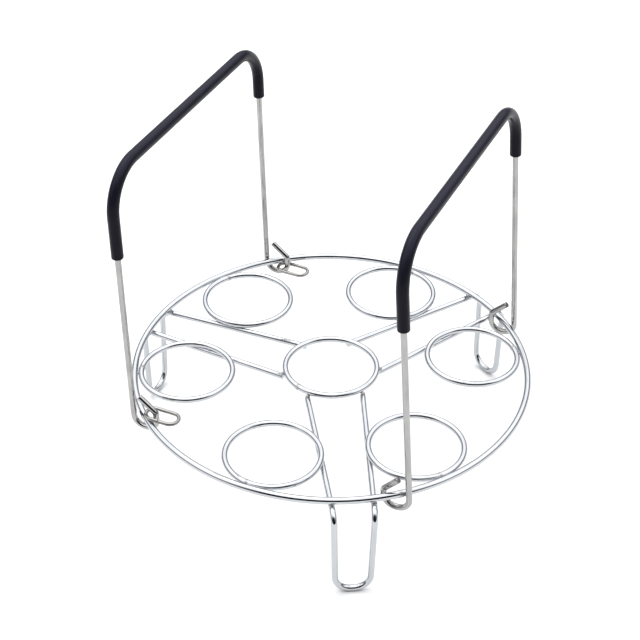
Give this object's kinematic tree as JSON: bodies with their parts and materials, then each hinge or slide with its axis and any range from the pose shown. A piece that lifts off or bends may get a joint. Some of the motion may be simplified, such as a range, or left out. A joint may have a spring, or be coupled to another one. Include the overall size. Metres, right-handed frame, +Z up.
{
  "type": "egg steamer rack",
  "caption": "Round wire steaming rack with egg rings around a centre ring, on hairpin legs, with swinging bail handles in soft grips.",
  "frame": {"origin": "on the surface the rack stands on, under the middle of the hoop", "axes": "+Z up; the two bail handles stand on the -X and +X sides and their grips run along Y"},
  "size_m": [0.2074, 0.2036, 0.187],
  "materials": {
    "rack_wire": "bright polished stainless wire",
    "weld_metal": "dull, slightly heat-tinted weld metal, polished over",
    "handle_wire": "satin drawn steel wire",
    "grip_sleeve": "semi-matt black silicone tube",
    "link_wire": "bright drawn steel wire"
  },
  "bodies": {
    "rack": {"outer_hoop": "rack_wire", "centre_ring": "rack_wire", "egg_ring_1": "rack_wire", "egg_ring_2": "rack_wire", "egg_ring_3": "rack_wire", "egg_ring_4": "rack_wire", "egg_ring_5": "rack_wire", "egg_ring_6": "rack_wire", "leg_front": "rack_wire", "leg_left": "rack_wire", "leg_rear": "rack_wire", "hoop_leg_welds": "weld_metal", "centre_ring_welds": "weld_metal", "egg_ring_leg_welds": "weld_metal", "egg_ring_hoop_welds": "weld_metal", "butt_seam_welds": "weld_metal"},
    "left_handle": {"left_handle_wire": "handle_wire", "left_grip": "grip_sleeve"},
    "right_handle": {"right_handle_wire": "handle_wire", "right_grip": "grip_sleeve"},
    "front_keeper_link": {"keeper_link_front": "link_wire"},
    "rear_keeper_link": {"keeper_link_rear": "link_wire"}
  },
  "joints": [
    {"name": "left_handle_swing", "type": "hinge", "parent": "rack", "child": "left_handle", "pos_m": [-0.06671, 0, 0.051], "axis": [0, 1, 0], "range_deg": [-100.3, 56.7]},
    {"name": "right_handle_swing", "type": "hinge", "parent": "rack", "child": "right_handle", "pos_m": [0.06671, 0, 0.051], "axis": [0, 1, 0], "range_deg": [-83.7, 109.3]},
    {"name": "front_keeper_link_swivel", "type": "hinge", "parent": "rack", "child": "front_keeper_link", "pos_m": [-0.06031, -0.0745, 0.0541], "axis": [0, 0, 1], "range_deg": [-15, 15]},
    {"name": "rear_keeper_link_swivel", "type": "hinge", "parent": "rack", "child": "rear_keeper_link", "pos_m": [-0.06051, 0.0745, 0.04785], "axis": [0, 0, 1], "range_deg": [-15, 15]}
  ]
}
